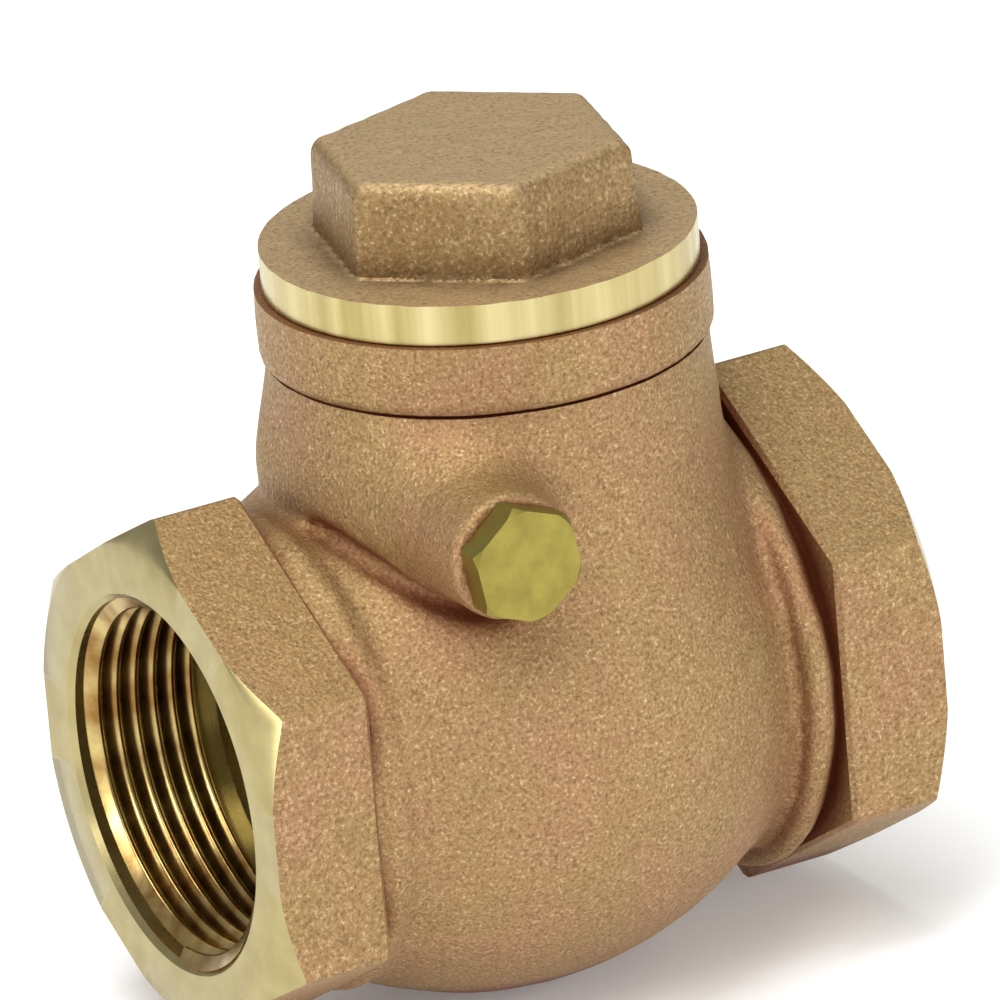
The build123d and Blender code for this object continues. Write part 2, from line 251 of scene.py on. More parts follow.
@dataclass(frozen=True)
class TurnedBrass:
    """Yellow brass as a lathe leaves it: bright and pale, with fine tool marks round one axis.

    A real feed leaves marks about 0.2 mm apart. Here they lie 2.2 mm apart, 2 pi times the given length, as soft
    waves that are wide enough to show.
    """

    name: str
    axis: TurnedAxis
    pale: str = "AC9F70"
    deep: str = "A09264"
    mark_mm: float = 0.35
    mark_depth_mm: float = 0.01
    chatter_mm: float = 4.0
    drawn_out: float = 0.04
    tarnish_mm: float = 5.0
    roughness: float = 0.24

    def make(self) -> Material:
        """Build the material: tool marks as a fine bump, streaks of two yellows, and faint tarnish in the gloss.

        Returns:
            The finish, ready for a slot.
        """
        material, add, shader = blank_material(self.name)
        place = add("ShaderNodeTexCoord").outputs["Object"]
        tarnish = add("ShaderNodeTexNoise", {"Vector": place, "Scale": 1 / (self.tarnish_mm * MM), "Detail": 4.0})
        marks = add(
            "ShaderNodeTexWave",
            {"Vector": place, "Scale": 1 / (self.mark_mm * MM) / 20, "Distortion": 0.4, "Detail": 1.0},
            wave_type="RINGS",
            rings_direction=self.axis.value,
        )
        run = (self.drawn_out, 1.0, 1.0) if self.axis is TurnedAxis.FLOW else (1.0, 1.0, self.drawn_out)
        lay = add("ShaderNodeMapping", {"Vector": place, "Scale": run})
        streak_noise = add("ShaderNodeTexNoise", {"Vector": lay, "Scale": 1 / (self.chatter_mm * MM), "Detail": 5.0})
        streak = add("ShaderNodeMapRange", {"Value": streak_noise, "From Min": 0.35, "From Max": 0.65})
        # The streaks are colour: on the cap's rim they are painted upright reflections, and in the threads the
        # browner tone is painted shade.
        colour = add("ShaderNodeMix", {0: streak, 6: linear(self.pale), 7: linear(self.deep)}, data_type="RGBA")
        dullness = add(
            "ShaderNodeMapRange", {"Value": tarnish, "To Min": self.roughness - 0.05, "To Max": self.roughness + 0.12}
        )
        relief = add(
            "ShaderNodeBump", {"Height": marks.outputs["Fac"], "Distance": self.mark_depth_mm * MM, "Strength": 0.35}
        )
        feed(
            shader,
            {"Base Color": colour.outputs[2], "Metallic": 1.0, "Roughness": dullness.outputs[0], "Normal": relief},
        )
        return material


@dataclass(frozen=True)
class RubbedMetal:
    """A drawn or milled metal handled since: one colour, a duller one in patches, and level hairline scratches."""

    name: str
    clean: str
    dull: str
    roughness: float = 0.3
    patch_mm: float = 3.0
    scratch_mm: float = 1.5
    scratch_depth_mm: float = 0.02
    flattening: float = 12.0

    def make(self) -> Material:
        """Build the material: patches in the colour and the gloss, and scratches flattened to lie level.

        Returns:
            The finish, ready for a slot.
        """
        material, add, shader = blank_material(self.name)
        place = add("ShaderNodeTexCoord").outputs["Object"]
        patch = add(
            "ShaderNodeTexNoise",
            {"Vector": place, "Scale": 1 / (self.patch_mm * MM), "Detail": 5.0, "Roughness": 0.6},
        )
        stretch = add("ShaderNodeMapping", {"Vector": place, "Scale": (1.0, 1.0, self.flattening)})
        scratch = add("ShaderNodeTexNoise", {"Vector": stretch, "Scale": 1 / (self.scratch_mm * MM), "Detail": 3.0})
        amount = add("ShaderNodeMapRange", {"Value": patch, "From Min": 0.35, "From Max": 0.65})
        colour = add("ShaderNodeMix", {0: amount, 6: linear(self.clean), 7: linear(self.dull)}, data_type="RGBA")
        bright, dull = self.roughness - 0.06, self.roughness + 0.14
        dullness = add(
            "ShaderNodeMapRange", {"Value": patch, "From Min": 0.3, "From Max": 0.7, "To Min": bright, "To Max": dull}
        )
        relief = add("ShaderNodeBump", {"Height": scratch, "Distance": self.scratch_depth_mm * MM, "Strength": 0.4})
        feed(
            shader,
            {"Base Color": colour.outputs[2], "Metallic": 1.0, "Roughness": dullness.outputs[0], "Normal": relief},
        )
        return material


@dataclass(frozen=True)
class SheetSeal:
    """A seal cut or moulded from sheet, such as nitrile rubber or PTFE: no metal, a fine satin skin."""

    name: str
    colour: str
    worn: str
    roughness: float
    speck_mm: float = 0.4
    speck_depth_mm: float = 0.03

    def make(self) -> Material:
        """Build the material: a satin skin with fine specks.

        Returns:
            The finish, ready for a slot.
        """
        material, add, shader = blank_material(self.name)
        place = add("ShaderNodeTexCoord").outputs["Object"]
        speck = add("ShaderNodeTexNoise", {"Vector": place, "Scale": 1 / (self.speck_mm * MM), "Detail": 3.0})
        colour = add("ShaderNodeMix", {0: speck, 6: linear(self.colour), 7: linear(self.worn)}, data_type="RGBA")
        relief = add("ShaderNodeBump", {"Height": speck, "Distance": self.speck_depth_mm * MM, "Strength": 0.5})
        feed(shader, {"Base Color": colour.outputs[2], "Roughness": self.roughness, "Normal": relief})
        return material


@dataclass(frozen=True)
class Finishes:
    """Every finish on the valve, made once."""

    casting: Material
    cap_casting: Material
    flow_turned: Material
    tapped: Material
    cap_turned: Material
    milled_brass: Material
    plug_brass: Material
    steel: Material
    nitrile: Material
    ptfe: Material

    @classmethod
    def mix(cls) -> "Finishes":
        """Make all the materials.

        Returns:
            The set of finishes.
        """
        return cls(
            # Warm, dull and sandy, pinker in broad patches, with reddish painted shade in its corners.
            casting=CastBronze().make(),
            # The cap's sand is coarser and its bronze browner, and its upward faces are painted paler, as lit from
            # above.
            cap_casting=CastBronze(
                name="sand_cast_bronze_cap",
                tan="987D54",
                rose="8E7148",
                rubbed="BEA176",
                pit="55422B",
                glint="DCCBA0",
                crevice="4E3418",
                grain_mm=0.55,
            ).make(),
            # Faced ends: pale yellow, with a soft sheen that follows the cut.
            flow_turned=TurnedBrass("turned_brass_flow", TurnedAxis.FLOW).make(),
            # Threads: pale brass streaked with a browner tone, darker than the faces, that paints in the shade inside
            # the bores.
            tapped=TurnedBrass("tapped_brass_with_painted_shade", TurnedAxis.FLOW, "C0AA70", "8A6636", roughness=0.2).make(),
            # The flange's rim: the brightest band, with upright streaks of reflected light painted into its colour.
            cap_turned=TurnedBrass("turned_brass_cap", TurnedAxis.CAP, "CDBF8C", "A09058").make(),
            # Small fittings inside, cut from bar: clean and golden.
            milled_brass=RubbedMetal("milled_brass", "C4B06A", "A8914E").make(),
            # The plug's bar stock, handled for years: olive, and duller.
            plug_brass=RubbedMetal("milled_brass_dull", "9A8E47", "8A7E3E", roughness=0.34).make(),
            # Pin and cotter: cool grey, nearly bright.
            steel=RubbedMetal("ground_stainless_steel", "C9C7C0", "A3A099", roughness=0.24).make(),
            # The disc's facing: near black, with a faint satin sheen.
            nitrile=SheetSeal("moulded_nitrile_rubber", "1B1B1C", "2A2A2C", 0.55).make(),
            # The cap's gasket: milky white and waxy.
            ptfe=SheetSeal("cut_ptfe_sheet", "E9E7E0", "DAD7CC", 0.42).make(),
        )


# --- distance fields, in mm


def smooth_union(a: np.ndarray, b: np.ndarray, blend: float | np.ndarray) -> np.ndarray:
    """Join two distance fields with a soft fillet.

    Args:
        a: the first field.
        b: the second field.
        blend: how wide the fillet is, in mm, everywhere or at each point.

    Returns:
        The joined field.
    """
    share = np.clip(0.5 + 0.5 * (b - a) / blend, 0, 1)
    return b * (1 - share) + a * share - blend * share * (1 - share)


def rounded_pair(across: np.ndarray, along: np.ndarray, edge: float) -> np.ndarray:
    """Intersect two distance fields with a rounded edge.

    Args:
        across: distance outside the section.
        along: distance outside the two ends.
        edge: the edge's radius, in mm.

    Returns:
        The field of the rounded prism.
    """
    a, b = across + edge, along + edge
    outside = np.hypot(np.maximum(a, 0), np.maximum(b, 0))
    return np.minimum(np.maximum(a, b), 0) + outside - edge


def hexagon_field(u: np.ndarray, v: np.ndarray, flats: float | np.ndarray, corner: float) -> np.ndarray:
    """Distance to a hexagon with rounded corners, one of its corners on the v axis.

    Args:
        u: first coordinate.
        v: second coordinate.
        flats: width across the flats.
        corner: the corners' radius.

    Returns:
        The signed distance, below 0 inside.
    """
    apothem = flats / 2 - corner
    side, up = np.abs(v), np.abs(u)
    tilt = (-math.sqrt(3) / 2, 0.5)
    fold = 2 * np.minimum(tilt[0] * side + tilt[1] * up, 0)
    side, up = side - fold * tilt[0], up - fold * tilt[1]
    half = apothem / math.sqrt(3)
    side = side - np.clip(side, -half, half)
    return np.hypot(side, up - apothem) * np.sign(up - apothem) - corner


def cylinder_field(
    radial: np.ndarray, along: np.ndarray, radius: float, low: float, high: float, edge: float
) -> np.ndarray:
    """Distance to a cylinder with rounded ends.

    Args:
        radial: distance from the axis.
        along: place along the axis.
        radius: the cylinder's radius.
        low: where it starts along the axis.
        high: where it ends.
        edge: the radius of its edges.

    Returns:
        The signed distance.
    """
    return rounded_pair(radial - radius, np.abs(along - (low + high) / 2) - (high - low) / 2, edge)


@dataclass(frozen=True)
class SandSkin:
    """The slow unevenness of a sand mould's wall: a few waves in fixed random directions."""

    height: float = 0.035
    lengths: tuple[float, float] = (3.5, 11.0)
    count: int = 14
    seed: int = 7

    def __call__(self, p: Points) -> np.ndarray:
        """Add the waves up.

        Args:
            p: points in mm.

        Returns:
            Height of the skin at each point, in mm.
        """
        rng = np.random.default_rng(self.seed)
        total = np.zeros(p.shape[:-1])
        for length in np.geomspace(*self.lengths, self.count):
            way = rng.normal(size=3)
            way *= 2 * math.pi / length / np.linalg.norm(way)
            total += np.cos(p @ way + rng.uniform(0, 2 * math.pi))
        return total * self.height / math.sqrt(self.count / 2)


def field_mesh(
    distance: Distance, low: tuple[float, ...], high: tuple[float, ...], step: float
) -> tuple[np.ndarray, np.ndarray]:
    """Turn a distance field into a closed mesh of even quads, with every corner drawn onto the true surface.

    Args:
        distance: the field, below 0 inside.
        low: lowest corner of the space to search, in mm.
        high: highest corner.
        step: the quads' size, in mm.

    Returns:
        Corners in mm, and quads.
    """
    axes = [np.arange(a, b + step, step) for a, b in zip(low, high)]
    points = np.stack(np.meshgrid(*axes, indexing="ij"), -1)
    grid = openvdb.FloatGrid(FIELD_FAR)
    grid.copyFromArray((distance(points) / step).astype(np.float32))
    corners, quads = grid.convertToQuads(0.0)
    corners = np.array(low) + corners.astype(float) * step
    for _ in range(FIELD_DRAWS):
        here = distance(corners)
        slope = np.stack([distance(corners + FIELD_PROBE * e) - here for e in np.eye(3)], -1) / FIELD_PROBE
        size = np.maximum((slope**2).sum(-1), FIELD_LEAST_SLOPE)
        corners -= np.clip(here / size, -step / 2, step / 2)[:, None] * slope
    return corners, quads


# --- meshes


def put_in_scene(name: str, data: bpy.types.ID) -> Object:
    """Make an object at the origin, linked to the scene.

    Args:
        name: the object's name.
        data: its mesh, light or camera.

    Returns:
        The object.
    """
    thing = bpy.data.objects.new(name, data)
    bpy.context.scene.collection.objects.link(thing)
    return thing


def piece_from(name: str, corners: np.ndarray | list, faces: np.ndarray | list, materials: list[Material]) -> Object:
    """Make an object at the origin from corners in mm.

    Args:
        name: the piece's name.
        corners: points in mm.
        faces: corner numbers of each face.
        materials: its material slots, all faces on the first.

    Returns:
        The object, linked to the scene.
    """
    mesh = bpy.data.meshes.new(name)
    mesh.from_pydata((np.asarray(corners) * MM).tolist(), [], [list(map(int, f)) for f in faces])
    for material in materials:
        mesh.materials.append(material)
    return put_in_scene(name, mesh)


def solid_profile(*corners: tuple[float, float]) -> list[tuple[float, float]]:
    """Close a row of (along, radius) corners onto the axis at both ends."""
    return [(corners[0][0], 0), *corners, (corners[-1][0], 0)]


def turned(
    name: str,
    profile: list[tuple[float, float]],
    material: Material,
    place: Matrix | None = None,
    count: int = 128,
) -> Object:
    """Turn a closed profile round an axis, as a lathe does.

    Args:
        name: the piece's name.
        profile: (along, radius) points in mm, in order round the section; a radius of 0 lies on the axis.
        material: its finish.
        place: where the axis goes; without it the axis is +X through the origin.
        count: how many steps there are in a turn.

    Returns:
        The object.
    """
    solid = bmesh.new()
    round_ = [(math.cos(2 * math.pi * i / count), math.sin(2 * math.pi * i / count)) for i in range(count)]
    rings = []
    for along, radius in profile:
        if radius == 0:
            rings.append([solid.verts.new((along * MM, 0, 0))] * count)
            continue
        rings.append([solid.verts.new((along * MM, radius * MM * y, radius * MM * z)) for y, z in round_])
    for first, second in zip(rings, rings[1:] + rings[:1]):
        for i in range(count):
            j = (i + 1) % count
            corners = list(dict.fromkeys((first[i], second[i], second[j], first[j])))
            if len(corners) > 2:
                solid.faces.new(corners)
    bmesh.ops.recalc_face_normals(solid, faces=solid.faces)
    mesh = bpy.data.meshes.new(name)
    solid.to_mesh(mesh)
    solid.free()
    mesh.materials.append(material)
    if place is not None:
        mesh.transform(place)
    return put_in_scene(name, mesh)


class Cut(Enum):
    """How a tool changes the piece it meets."""

    REMOVE = "DIFFERENCE"
    KEEP_INSIDE = "INTERSECT"
    ADD = "UNION"


def machine(piece: Object, tool: Object, cut: Cut) -> None:
    """Cut a piece with a tool, leaving the tool's finish on the new faces, and throw the tool away.

    Args:
        piece: what is cut.
        tool: the closed shape that cuts it.
        cut: what the cut keeps.
    """
    step = piece.modifiers.new("cut", "BOOLEAN")
    step.object = tool
    step.operation = cut.value
    step.solver = "EXACT"
    step.material_mode = "TRANSFER"
    seen = bpy.context.evaluated_depsgraph_get()
    result = bpy.data.meshes.new_from_object(piece.evaluated_get(seen))
    piece.modifiers.clear()
    piece.data = result
    bpy.data.objects.remove(tool)


def smooth_by_angle(piece: Object, degrees: float = 32.0) -> None:
    """Shade a piece smooth, with its machined edges left sharp."""
    piece.data.shade_smooth()
    piece.data.set_sharp_from_angle(angle=math.radians(degrees))


def about(origin: tuple[float, float, float], axis: tuple[float, float, float]) -> Matrix:
    """Where a turned piece goes, its own +X laid along an axis.

    Args:
        origin: where its axis starts, in mm.
        axis: the way that its axis points.

    Returns:
        The matrix, in metres.
    """
    turn = Vector((1, 0, 0)).rotation_difference(Vector(axis).normalized())
    return Matrix.Translation(Vector(origin) * MM) @ turn.to_matrix().to_4x4()


# --- sizes that several pieces share


@dataclass(frozen=True)
class Datum:
    """Where the valve's main axes are, in mm, read from the CAD frame."""

    length: float
    cap_x: float
    pin_x: float
    pin_z: float
    body_top: float
    cap_top: float
    tilt: float

    @classmethod
    def read(cls) -> "Datum":
        """Measure the CAD nodes and joints.

        Returns:
            The valve's axes.
        """
        body_low, body_high = (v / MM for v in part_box("body"))
        cap_low, cap_high = (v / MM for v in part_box("cap"))
        gasket_low, gasket_high = (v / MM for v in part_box("cap_gasket"))
        pin_low, pin_high = (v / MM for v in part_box("hinge_pin"))
        spin = next(j for j in frame["joints"] if j["name"] == "disc_spin")
        return cls(
            length=body_high.x - body_low.x,
            cap_x=(cap_low.x + cap_high.x) / 2,
            pin_x=(pin_low.x + pin_high.x) / 2,
            pin_z=(pin_low.z + pin_high.z) / 2,
            body_top=gasket_high.z,
            cap_top=cap_high.z,
            tilt=math.atan2(spin["axis"][2], spin["axis"][0]),
        )

    def end(self, at_outlet: bool) -> Matrix:
        """Where an end's pieces go: as drawn at the inlet, turned about and moved along at the outlet.

        Args:
            at_outlet: whether it is the outlet's end.

        Returns:
            The matrix, in metres.
        """
        if not at_outlet:
            return Matrix.Identity(4)
        return Matrix.Translation((self.length * MM, 0, 0)) @ Matrix.Rotation(math.pi, 4, "Z")


# --- the body


@dataclass
class BodyCasting:
    """The body: a sand casting with hexagon ends, a belly, a neck and a cross boss, then bored, faced and tapped.

    Sizes are in mm. A blend is a fillet's width, an edge is the radius of a rounded corner, and stock is metal that
    machining takes off again.
    """

    datum: Datum
    finishes: Finishes
    stock: float = 2.0
    grid: float = 0.62
    skin: SandSkin = field(default_factory=SandSkin)

    hex_flats: float = 53.4
    hex_length: float = 12.8
    hex_corner: float = 1.0
    hex_edge: float = 0.5
    face_radius: float = 27.2
    chamfer_slope: float = 0.62
    lathe_swing: float = 60.0

    belly_radius: float = 32.5
    belly_x: float = 39.9
    belly_arc: float = 43.0
    sleeve_radius: float = 23.7
    sleeve_start: float = 5.0
    bead_radius: float = 27.0
    bead_round: float = 1.6
    bead_to_hex: float = 2.7
    bead_blend: float = 2.0
    inlet_root: float = 26.2
    groove_radius: float = 25.0

    neck_radius: float = 24.3
    neck_edge: float = 1.0
    neck_draft: float = 0.7
    neck_drafted: float = 12.0
    collar_radius: float = 25.0
    collar_edge: float = 0.7
    collar_bottom: float = 41.5
    collar_blend: float = 0.5
    boss_radius: float = 7.2
    boss_edge: float = 1.2
    boss_near: float = -31.9
    boss_far: float = 9.0

    blend_inlet: float = 1.5
    blend_outlet: float = 9.0
    blend_start: float = 0.75
    blend_boss: float = 8.0
    blend_ends: float = 2.6
    crescent_rise: float = 4.0
    crescent_left: float = 3.0
    crease_radius: float = 0.6
    crease_blend: float = 1.8
    crease_end: float = 37.0
    crease_run: float = 6.0
    line_floor: float = 24.1
    line_outer: float = 27.0
    line_span: tuple[float, float] = (-0.55, -0.1)
    line_shift: float = 0.45

    wall: float = 3.8
    core_grid: float = 0.9
    core_overlap: float = 0.5
    core_blend: float = 4.0
    neck_bore: float = 20.5
    neck_overrun: float = 1.5
    pocket_radius: float = 4.8
    pocket_reach: float = 10.5
    pocket_edge: float = 0.4
    pocket_blend: float = 1.0

    thread_radius: float = 20.96
    thread_length: float = 17.0
    thread_runout: float = 1.2
    mouth_radius: float = 21.6
    relief_radius: float = 19.0
    relief_length: float = 3.5
    port_radius: float = 14.5
    port_length: float = 12.0
    seat_radius: float = 16.6
    seat_bore: float = 12.0
    seat_height: float = 2.0
    seat_depth: float = 4.0
    seat_edge: float = 0.4
    seat_to_pin: float = 5.5

    cap_thread_radius: float = 21.5
    cap_thread_bottom: float = 39.6
    gasket_recess: float = 23.3
    plug_thread_radius: float = 4.9
    plug_thread_length: float = 9.6
    plug_face_radius: float = 12.0
    pin_hole_radius: float = 2.05
    pin_hole_end: float = 16.4

    def hexagon(self, at_outlet: bool) -> Object:
        """One end's hexagon as cast: a prism with rounded corners and a broken inner edge.

        Args:
            at_outlet: whether it is the outlet's hexagon.

        Returns:
            The hexagon, in its place.
        """
        reach = (self.hex_flats / 2 - self.hex_corner) / math.cos(math.pi / 6)
        outline = []
        for middle in (math.pi / 2 + k * math.pi / 3 for k in range(6)):
            for turn in (middle + step * math.pi / 18 for step in range(-3, 4)):
                outline.append((reach * math.cos(middle), reach * math.sin(middle), math.cos(turn), math.sin(turn)))
        rings = (
            (-self.stock, self.hex_corner),
            (self.hex_length - self.hex_edge, self.hex_corner),
            (self.hex_length, self.hex_corner - self.hex_edge),
        )
        corners = [(x, y + corner * c, z + corner * s) for x, corner in rings for y, z, c, s in outline]
        count = len(outline)
        faces = [tuple(range(count))[::-1], tuple(range(2 * count, 3 * count))]
        for low in (0, count):
            for i in range(count):
                j = (i + 1) % count
                faces.append((low + i, low + j, low + count + j, low + count + i))
        piece = piece_from("end_hexagon", corners, faces, [self.finishes.casting])
        piece.data.transform(self.datum.end(at_outlet))
        return piece

    def belly(self, x: np.ndarray, radial: np.ndarray, inset: float) -> np.ndarray:
        """Distance to the belly, an arc turned about the flow axis and drawn in by the inset."""
        return np.hypot(x - self.belly_x, radial + self.belly_arc - self.belly_radius) - self.belly_arc + inset

    def creased(self, shell: np.ndarray, meeting: np.ndarray, p: Points) -> np.ndarray:
        """Sink a soft crease into the shell, on the inlet's near side only.

        Args:
            shell: distance to the casting so far.
            meeting: distance to the lines that the crease follows.
            p: points in mm.

        Returns:
            Distance to the creased casting.
        """
        x, y = p[..., 0], p[..., 1]
        fade = np.clip((self.crease_end - x) / self.crease_run, 0, 1) * np.clip(-y / self.crease_run, 0, 1)
        reach = (self.crease_radius + self.crease_blend) * fade - self.crease_blend
        return -smooth_union(-shell, meeting - reach, self.crease_blend)

    def outside(self, p: Points) -> np.ndarray:
        """Distance to the casting before anything is machined.

        Args:
            p: points in mm.

        Returns:
            The signed distance, below 0 in the metal.
        """
        x, y, z = p[..., 0], p[..., 1], p[..., 2]
        d = self.datum
        radial = np.hypot(y, z)
        middle = d.length / 2
        ends_x = middle - np.abs(x - middle)
        belly = np.maximum(self.belly(x, radial, 0), self.hex_length / 2 - ends_x)
        groove = np.where(ends_x < self.hex_length + self.bead_to_hex, self.groove_radius, self.sleeve_radius)
        root = np.where(x < middle, self.inlet_root, groove)
        sleeve = np.maximum(radial - root, self.sleeve_start - ends_x)
        bead = np.hypot(ends_x - self.hex_length - self.bead_to_hex, radial - self.bead_radius + self.bead_round)
        ends = smooth_union(sleeve, bead - self.bead_round, self.bead_blend)

        neck_radial = np.hypot(x - d.cap_x, y)
        spread = self.neck_draft * np.clip((self.collar_bottom - z) / self.neck_drafted, 0, 1)
        top = d.body_top + self.stock
        neck = cylinder_field(neck_radial - spread, z, self.neck_radius, 0, top, self.neck_edge)
        collar = cylinder_field(neck_radial, z, self.collar_radius, self.collar_bottom, top, self.collar_edge)
        pin_radial = np.hypot(x - d.pin_x, z - d.pin_z)
        boss = cylinder_field(pin_radial, y, self.boss_radius, self.boss_near, self.boss_far, self.boss_edge)

        # The neck meets the belly sharply on the inlet side and flows into it on the outlet side.
        outward = np.clip((x - d.cap_x + self.neck_radius * self.blend_start) / self.neck_radius, 0, 1)
        neck_blend = self.blend_inlet + (self.blend_outlet - self.blend_inlet) * outward**2 * (3 - 2 * outward)
        upper = smooth_union(neck, boss, self.blend_boss)
        shell = smooth_union(belly, upper, neck_blend)

        # A crease follows that meeting, and a crescent of it lies over the boss.
        crescent = np.maximum(np.hypot(boss, neck), d.pin_z + self.crescent_rise - z)
        crescent = np.maximum(crescent, d.pin_x - self.crescent_left - x)
        shell = self.creased(shell, np.minimum(np.hypot(upper, belly), crescent), p)
        shell = smooth_union(shell, collar, self.collar_blend)
        return smooth_union(shell, ends, np.where(x < middle, self.blend_inlet, self.blend_ends)) + self.skin(p)

    def inside(self, p: Points) -> np.ndarray:
        """Distance to the water space downstream of the seat's wall.

        Args:
            p: points in mm.

        Returns:
            The signed distance, below 0 in the space.
        """
        x, y, z = p[..., 0], p[..., 1], p[..., 2]
        d = self.datum
        end = d.length - self.thread_length + self.core_overlap
        hollow = np.maximum(self.belly(x, np.hypot(y, z), self.wall), x - end)
        top = d.body_top + self.neck_overrun
        neck = cylinder_field(np.hypot(x - d.cap_x, y), z, self.neck_bore, 0, top, self.core_overlap)
        along = (x - d.pin_x) * math.cos(d.tilt) + (z - d.pin_z) * math.sin(d.tilt)
        space = smooth_union(hollow, neck, self.core_blend)
        space = np.maximum(space, -(along + self.seat_to_pin + self.seat_height))
        pin_radial = np.hypot(x - d.pin_x, z - d.pin_z)
        reach = self.pocket_reach
        pocket = cylinder_field(pin_radial, y, self.pocket_radius, -reach, reach, self.pocket_edge)
        return smooth_union(space, pocket, self.pocket_blend)

    def facing_tool(self) -> Object:
        """The envelope that a lathe leaves round both ends: flat faces and chamfered corners.

        Returns:
            The closed envelope.
        """
        far = self.lathe_swing
        depth = (far - self.face_radius) * self.chamfer_slope
        length = self.datum.length
        corners = ((0, self.face_radius), (depth, far), (length - depth, far), (length, self.face_radius))
        return turned("facing_tool", solid_profile(*corners), self.finishes.flow_turned, count=256)

    def mouth_tool(self, at_outlet: bool) -> Object:
        """The tap and its countersink, with a run-out at the outlet and a relief into the port at the inlet.

        Args:
            at_outlet: whether it cuts the outlet.

        Returns:
            The closed tool, in its place.
        """
        end = self.thread_length
        corners = [
            (-CLEAR, self.mouth_radius + CLEAR),
            (self.mouth_radius - self.thread_radius, self.thread_radius),
            (end, self.thread_radius),
        ]
        if at_outlet:
            corners.append((end + self.thread_runout, self.thread_radius - self.thread_runout))
        else:
            corners += [(end, self.relief_radius), (end + self.relief_length, self.relief_radius)]
        place = self.datum.end(at_outlet)
        return turned("mouth_tool", solid_profile(*corners), self.finishes.flow_turned, place, 192)

    def face_neck(self, piece: Object) -> None:
        """Cut the casting's riser off and score the line under the collar.

        Args:
            piece: the casting.
        """
        d, casting = self.datum, self.finishes.casting
        riser = solid_profile((d.body_top, 40), (d.body_top + 9, 40))
        machine(piece, turned("riser", riser, casting, about((d.cap_x, 0, 0), (0, 0, 1))), Cut.REMOVE)
        low, high = (self.collar_bottom + shift for shift in self.line_span)
        line = [(low, self.line_floor), (low, self.line_outer), (high, self.line_outer), (high, self.line_floor)]
        place = about((d.cap_x, self.line_shift, 0), (0, 0, 1))
        machine(piece, turned("groove", line, casting, place, 160), Cut.REMOVE)

    def cut_seat(self, piece: Object) -> None:
        """Raise the seat on the wall and bore the port through it, both square to the tilted disc.

        Args:
            piece: the casting.
        """
        d, brass = self.datum, self.finishes.flow_turned
        arm = (d.pin_z - self.seat_to_pin * math.sin(d.tilt)) / math.cos(d.tilt)
        turn = Matrix.Translation((d.pin_x * MM, 0, d.pin_z * MM)) @ Matrix.Rotation(-d.tilt, 4, "Y")
        place = turn @ Matrix.Translation((0, 0, -arm * MM))
        face, edge = -self.seat_to_pin, self.seat_edge
        ring = [
            (face - self.seat_depth, self.seat_bore),
            (face - self.seat_depth, self.seat_radius),
            (face - edge, self.seat_radius),
            (face, self.seat_radius - edge),
            (face, self.seat_bore),
        ]
        machine(piece, turned("seat", ring, brass, place), Cut.ADD)
        port = solid_profile((face - self.port_length, self.port_radius), (face + 2 * CLEAR, self.port_radius))
        machine(piece, turned("port_tool", port, brass, place), Cut.REMOVE)

    def tap_and_drill(self, piece: Object) -> None:
        """Tap both mouths and the neck, then drill across for the hinge pin and its plug.

        Args:
            piece: the casting.
        """
        d, f = self.datum, self.finishes
        for at_outlet in (False, True):
            machine(piece, self.mouth_tool(at_outlet), Cut.REMOVE)
        tap = solid_profile(
            (self.cap_thread_bottom, self.cap_thread_radius),
            (d.body_top - CLEAR, self.cap_thread_radius),
            (d.body_top - CLEAR, self.gasket_recess),
            (d.body_top + CLEAR, self.gasket_recess),
        )
        machine(piece, turned("cap_tap", tap, f.cap_turned, about((d.cap_x, 0, 0), (0, 0, 1))), Cut.REMOVE)
        plug_end = self.boss_near + self.plug_thread_length
        cross = solid_profile(
            (-60, self.plug_face_radius),
            (self.boss_near, self.plug_face_radius),
            (self.boss_near, self.plug_thread_radius),
            (plug_end, self.plug_thread_radius),
            (plug_end, self.pin_hole_radius),
            (self.pin_hole_end, self.pin_hole_radius),
        )
        place = about((d.pin_x, 0, d.pin_z), (0, 1, 0))
        machine(piece, turned("cross_drill", cross, f.flow_turned, place, 64), Cut.REMOVE)

    def build(self) -> Object:
        """Cast the body, machine it, and put it in the CAD body's place.

        Returns:
            The finished body.
        """
        d, casting = self.datum, self.finishes.casting
        high = (d.length - 1, 35, d.body_top + 4)
        corners, quads = field_mesh(self.outside, (1, -35, -35.5), high, self.grid)
        piece = piece_from("valve_casting", corners, quads, [casting])
        LOG.info("casting: %d quads", len(quads))
        for at_outlet in (False, True):
            machine(piece, self.hexagon(at_outlet), Cut.ADD)
        machine(piece, self.facing_tool(), Cut.KEEP_INSIDE)
        self.face_neck(piece)
        corners, quads = field_mesh(self.inside, (15, -31, -31), (70, 31, d.body_top + 2), self.core_grid)
        machine(piece, piece_from("core", corners, quads, [casting]), Cut.REMOVE)
        self.cut_seat(piece)
        self.tap_and_drill(piece)
        smooth_by_angle(piece)
        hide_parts("body")
        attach(piece, "valve_body")
        LOG.info("body: %d faces", len(piece.data.polygons))
        return piece


# --- the cap


